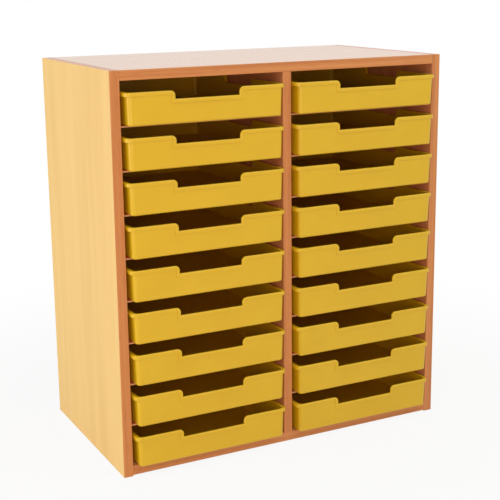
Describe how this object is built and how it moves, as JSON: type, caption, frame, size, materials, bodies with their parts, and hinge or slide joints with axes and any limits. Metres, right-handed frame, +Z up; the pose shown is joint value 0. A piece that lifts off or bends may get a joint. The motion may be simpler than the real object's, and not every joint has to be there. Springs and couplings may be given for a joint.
{
  "type": "classroom mail center",
  "caption": "Low open-fronted wooden cabinet with two bays of shallow sliding plastic trays for sorting classroom mail and papers.",
  "frame": {"origin": "on the floor, at the middle of the outline that cabinet and trays make together", "axes": "+X to the right seen from the front, +Y to the back, +Z up"},
  "size_m": [0.69, 0.397, 0.744],
  "materials": {
    "beech_board": "satin beech-effect laminate",
    "beech_edging": "satin beech-effect edging strip",
    "thin_shelf": "smooth faced hardboard",
    "back_panel": "smooth faced hardboard",
    "tongue": "raw hardwood",
    "yellow_tray": "smooth moulded plastic"
  },
  "bodies": {
    "cabinet": {"left_side_panel": "beech_board", "right_side_panel": "beech_board", "top_panel": "beech_board", "base_panel": "beech_board", "centre_divider": "beech_board", "left_side_edging": "beech_edging", "right_side_edging": "beech_edging", "top_edging": "beech_edging", "base_edging": "beech_edging", "divider_edging": "beech_edging", "left_shelf_1": "thin_shelf", "left_shelf_2": "thin_shelf", "left_shelf_3": "thin_shelf", "left_shelf_4": "thin_shelf", "left_shelf_5": "thin_shelf", "left_shelf_6": "thin_shelf", "left_shelf_7": "thin_shelf", "left_shelf_8": "thin_shelf", "right_shelf_1": "thin_shelf", "right_shelf_2": "thin_shelf", "right_shelf_3": "thin_shelf", "right_shelf_4": "thin_shelf", "right_shelf_5": "thin_shelf", "right_shelf_6": "thin_shelf", "right_shelf_7": "thin_shelf", "right_shelf_8": "thin_shelf", "back_panel": "back_panel", "carcass_tongues": "tongue"},
    "left_tray_1": {"left_tray_1": "yellow_tray"},
    "left_tray_2": {"left_tray_2": "yellow_tray"},
    "left_tray_3": {"left_tray_3": "yellow_tray"},
    "left_tray_4": {"left_tray_4": "yellow_tray"},
    "left_tray_5": {"left_tray_5": "yellow_tray"},
    "left_tray_6": {"left_tray_6": "yellow_tray"},
    "left_tray_7": {"left_tray_7": "yellow_tray"},
    "left_tray_8": {"left_tray_8": "yellow_tray"},
    "left_tray_9": {"left_tray_9": "yellow_tray"},
    "right_tray_1": {"right_tray_1": "yellow_tray"},
    "right_tray_2": {"right_tray_2": "yellow_tray"},
    "right_tray_3": {"right_tray_3": "yellow_tray"},
    "right_tray_4": {"right_tray_4": "yellow_tray"},
    "right_tray_5": {"right_tray_5": "yellow_tray"},
    "right_tray_6": {"right_tray_6": "yellow_tray"},
    "right_tray_7": {"right_tray_7": "yellow_tray"},
    "right_tray_8": {"right_tray_8": "yellow_tray"},
    "right_tray_9": {"right_tray_9": "yellow_tray"}
  },
  "joints": [
    {"name": "left_tray_1_slide", "type": "slide", "parent": "cabinet", "child": "left_tray_1", "axis": [0, -1, 0], "range_m": [0, 0.34]},
    {"name": "left_tray_2_slide", "type": "slide", "parent": "cabinet", "child": "left_tray_2", "axis": [0, -1, 0], "range_m": [0, 0.34]},
    {"name": "left_tray_3_slide", "type": "slide", "parent": "cabinet", "child": "left_tray_3", "axis": [0, -1, 0], "range_m": [0, 0.34]},
    {"name": "left_tray_4_slide", "type": "slide", "parent": "cabinet", "child": "left_tray_4", "axis": [0, -1, 0], "range_m": [0, 0.34]},
    {"name": "left_tray_5_slide", "type": "slide", "parent": "cabinet", "child": "left_tray_5", "axis": [0, -1, 0], "range_m": [0, 0.34]},
    {"name": "left_tray_6_slide", "type": "slide", "parent": "cabinet", "child": "left_tray_6", "axis": [0, -1, 0], "range_m": [0, 0.34]},
    {"name": "left_tray_7_slide", "type": "slide", "parent": "cabinet", "child": "left_tray_7", "axis": [0, -1, 0], "range_m": [0, 0.34]},
    {"name": "left_tray_8_slide", "type": "slide", "parent": "cabinet", "child": "left_tray_8", "axis": [0, -1, 0], "range_m": [0, 0.34]},
    {"name": "left_tray_9_slide", "type": "slide", "parent": "cabinet", "child": "left_tray_9", "axis": [0, -1, 0], "range_m": [0, 0.34]},
    {"name": "right_tray_1_slide", "type": "slide", "parent": "cabinet", "child": "right_tray_1", "axis": [0, -1, 0], "range_m": [0, 0.34]},
    {"name": "right_tray_2_slide", "type": "slide", "parent": "cabinet", "child": "right_tray_2", "axis": [0, -1, 0], "range_m": [0, 0.34]},
    {"name": "right_tray_3_slide", "type": "slide", "parent": "cabinet", "child": "right_tray_3", "axis": [0, -1, 0], "range_m": [0, 0.34]},
    {"name": "right_tray_4_slide", "type": "slide", "parent": "cabinet", "child": "right_tray_4", "axis": [0, -1, 0], "range_m": [0, 0.34]},
    {"name": "right_tray_5_slide", "type": "slide", "parent": "cabinet", "child": "right_tray_5", "axis": [0, -1, 0], "range_m": [0, 0.34]},
    {"name": "right_tray_6_slide", "type": "slide", "parent": "cabinet", "child": "right_tray_6", "axis": [0, -1, 0], "range_m": [0, 0.34]},
    {"name": "right_tray_7_slide", "type": "slide", "parent": "cabinet", "child": "right_tray_7", "axis": [0, -1, 0], "range_m": [0, 0.34]},
    {"name": "right_tray_8_slide", "type": "slide", "parent": "cabinet", "child": "right_tray_8", "axis": [0, -1, 0], "range_m": [0, 0.34]},
    {"name": "right_tray_9_slide", "type": "slide", "parent": "cabinet", "child": "right_tray_9", "axis": [0, -1, 0], "range_m": [0, 0.34]}
  ]
}
